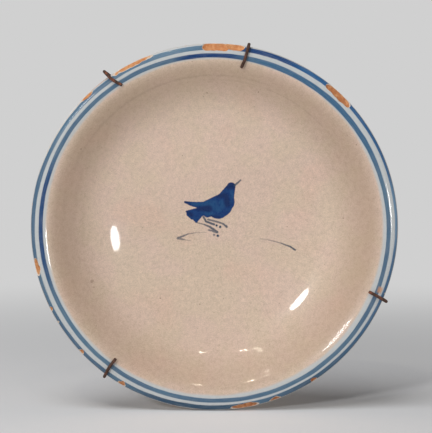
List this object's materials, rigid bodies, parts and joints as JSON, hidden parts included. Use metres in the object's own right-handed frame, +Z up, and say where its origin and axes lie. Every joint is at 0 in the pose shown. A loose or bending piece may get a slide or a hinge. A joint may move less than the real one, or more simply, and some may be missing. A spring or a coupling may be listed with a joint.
{
  "type": "wall-hung earthenware dish",
  "caption": "Round tin-glazed earthenware dish with a rolled, chipped lip and painted bands, held for a wall nail in a sprung wire hanger hooked over its lip.",
  "frame": {"origin": "axis of the wall nail that the hanger's eye hangs on, in the plane of the wall", "axes": "+Z up, +Y into the wall along the nail and the dish's axis, so the painted face looks along -Y"},
  "size_m": [0.3, 0.0531, 0.3003],
  "materials": {
    "glazed_earthenware": "pinkish-beige tin glaze, glossy, finely speckled, with cobalt blue bands and a small blue bird; bare orange clay in the chips",
    "rusty_wire": "iron wire with a dark, matt coat of rust",
    "spring_wire": "drawn steel wire, tarnished"
  },
  "bodies": {
    "hanger": {"upper_wire": "rusty_wire", "tension_spring": "spring_wire"},
    "turning_dish": {"dish": "glazed_earthenware"},
    "lower_arms": {"lower_wire": "rusty_wire"}
  },
  "joints": [
    {"name": "dish_turn", "type": "hinge", "parent": "hanger", "child": "turning_dish", "pos_m": [0, 0, -0.05512], "axis": [0, -1, 0], "continuous": true},
    {"name": "lower_pull", "type": "slide", "parent": "hanger", "child": "lower_arms", "axis": [0, 0, -1], "range_m": [0, 0.01], "stiffness_N_per_m": 2000, "springref_m": -0.005, "deforming": ["tension_spring"]}
  ]
}
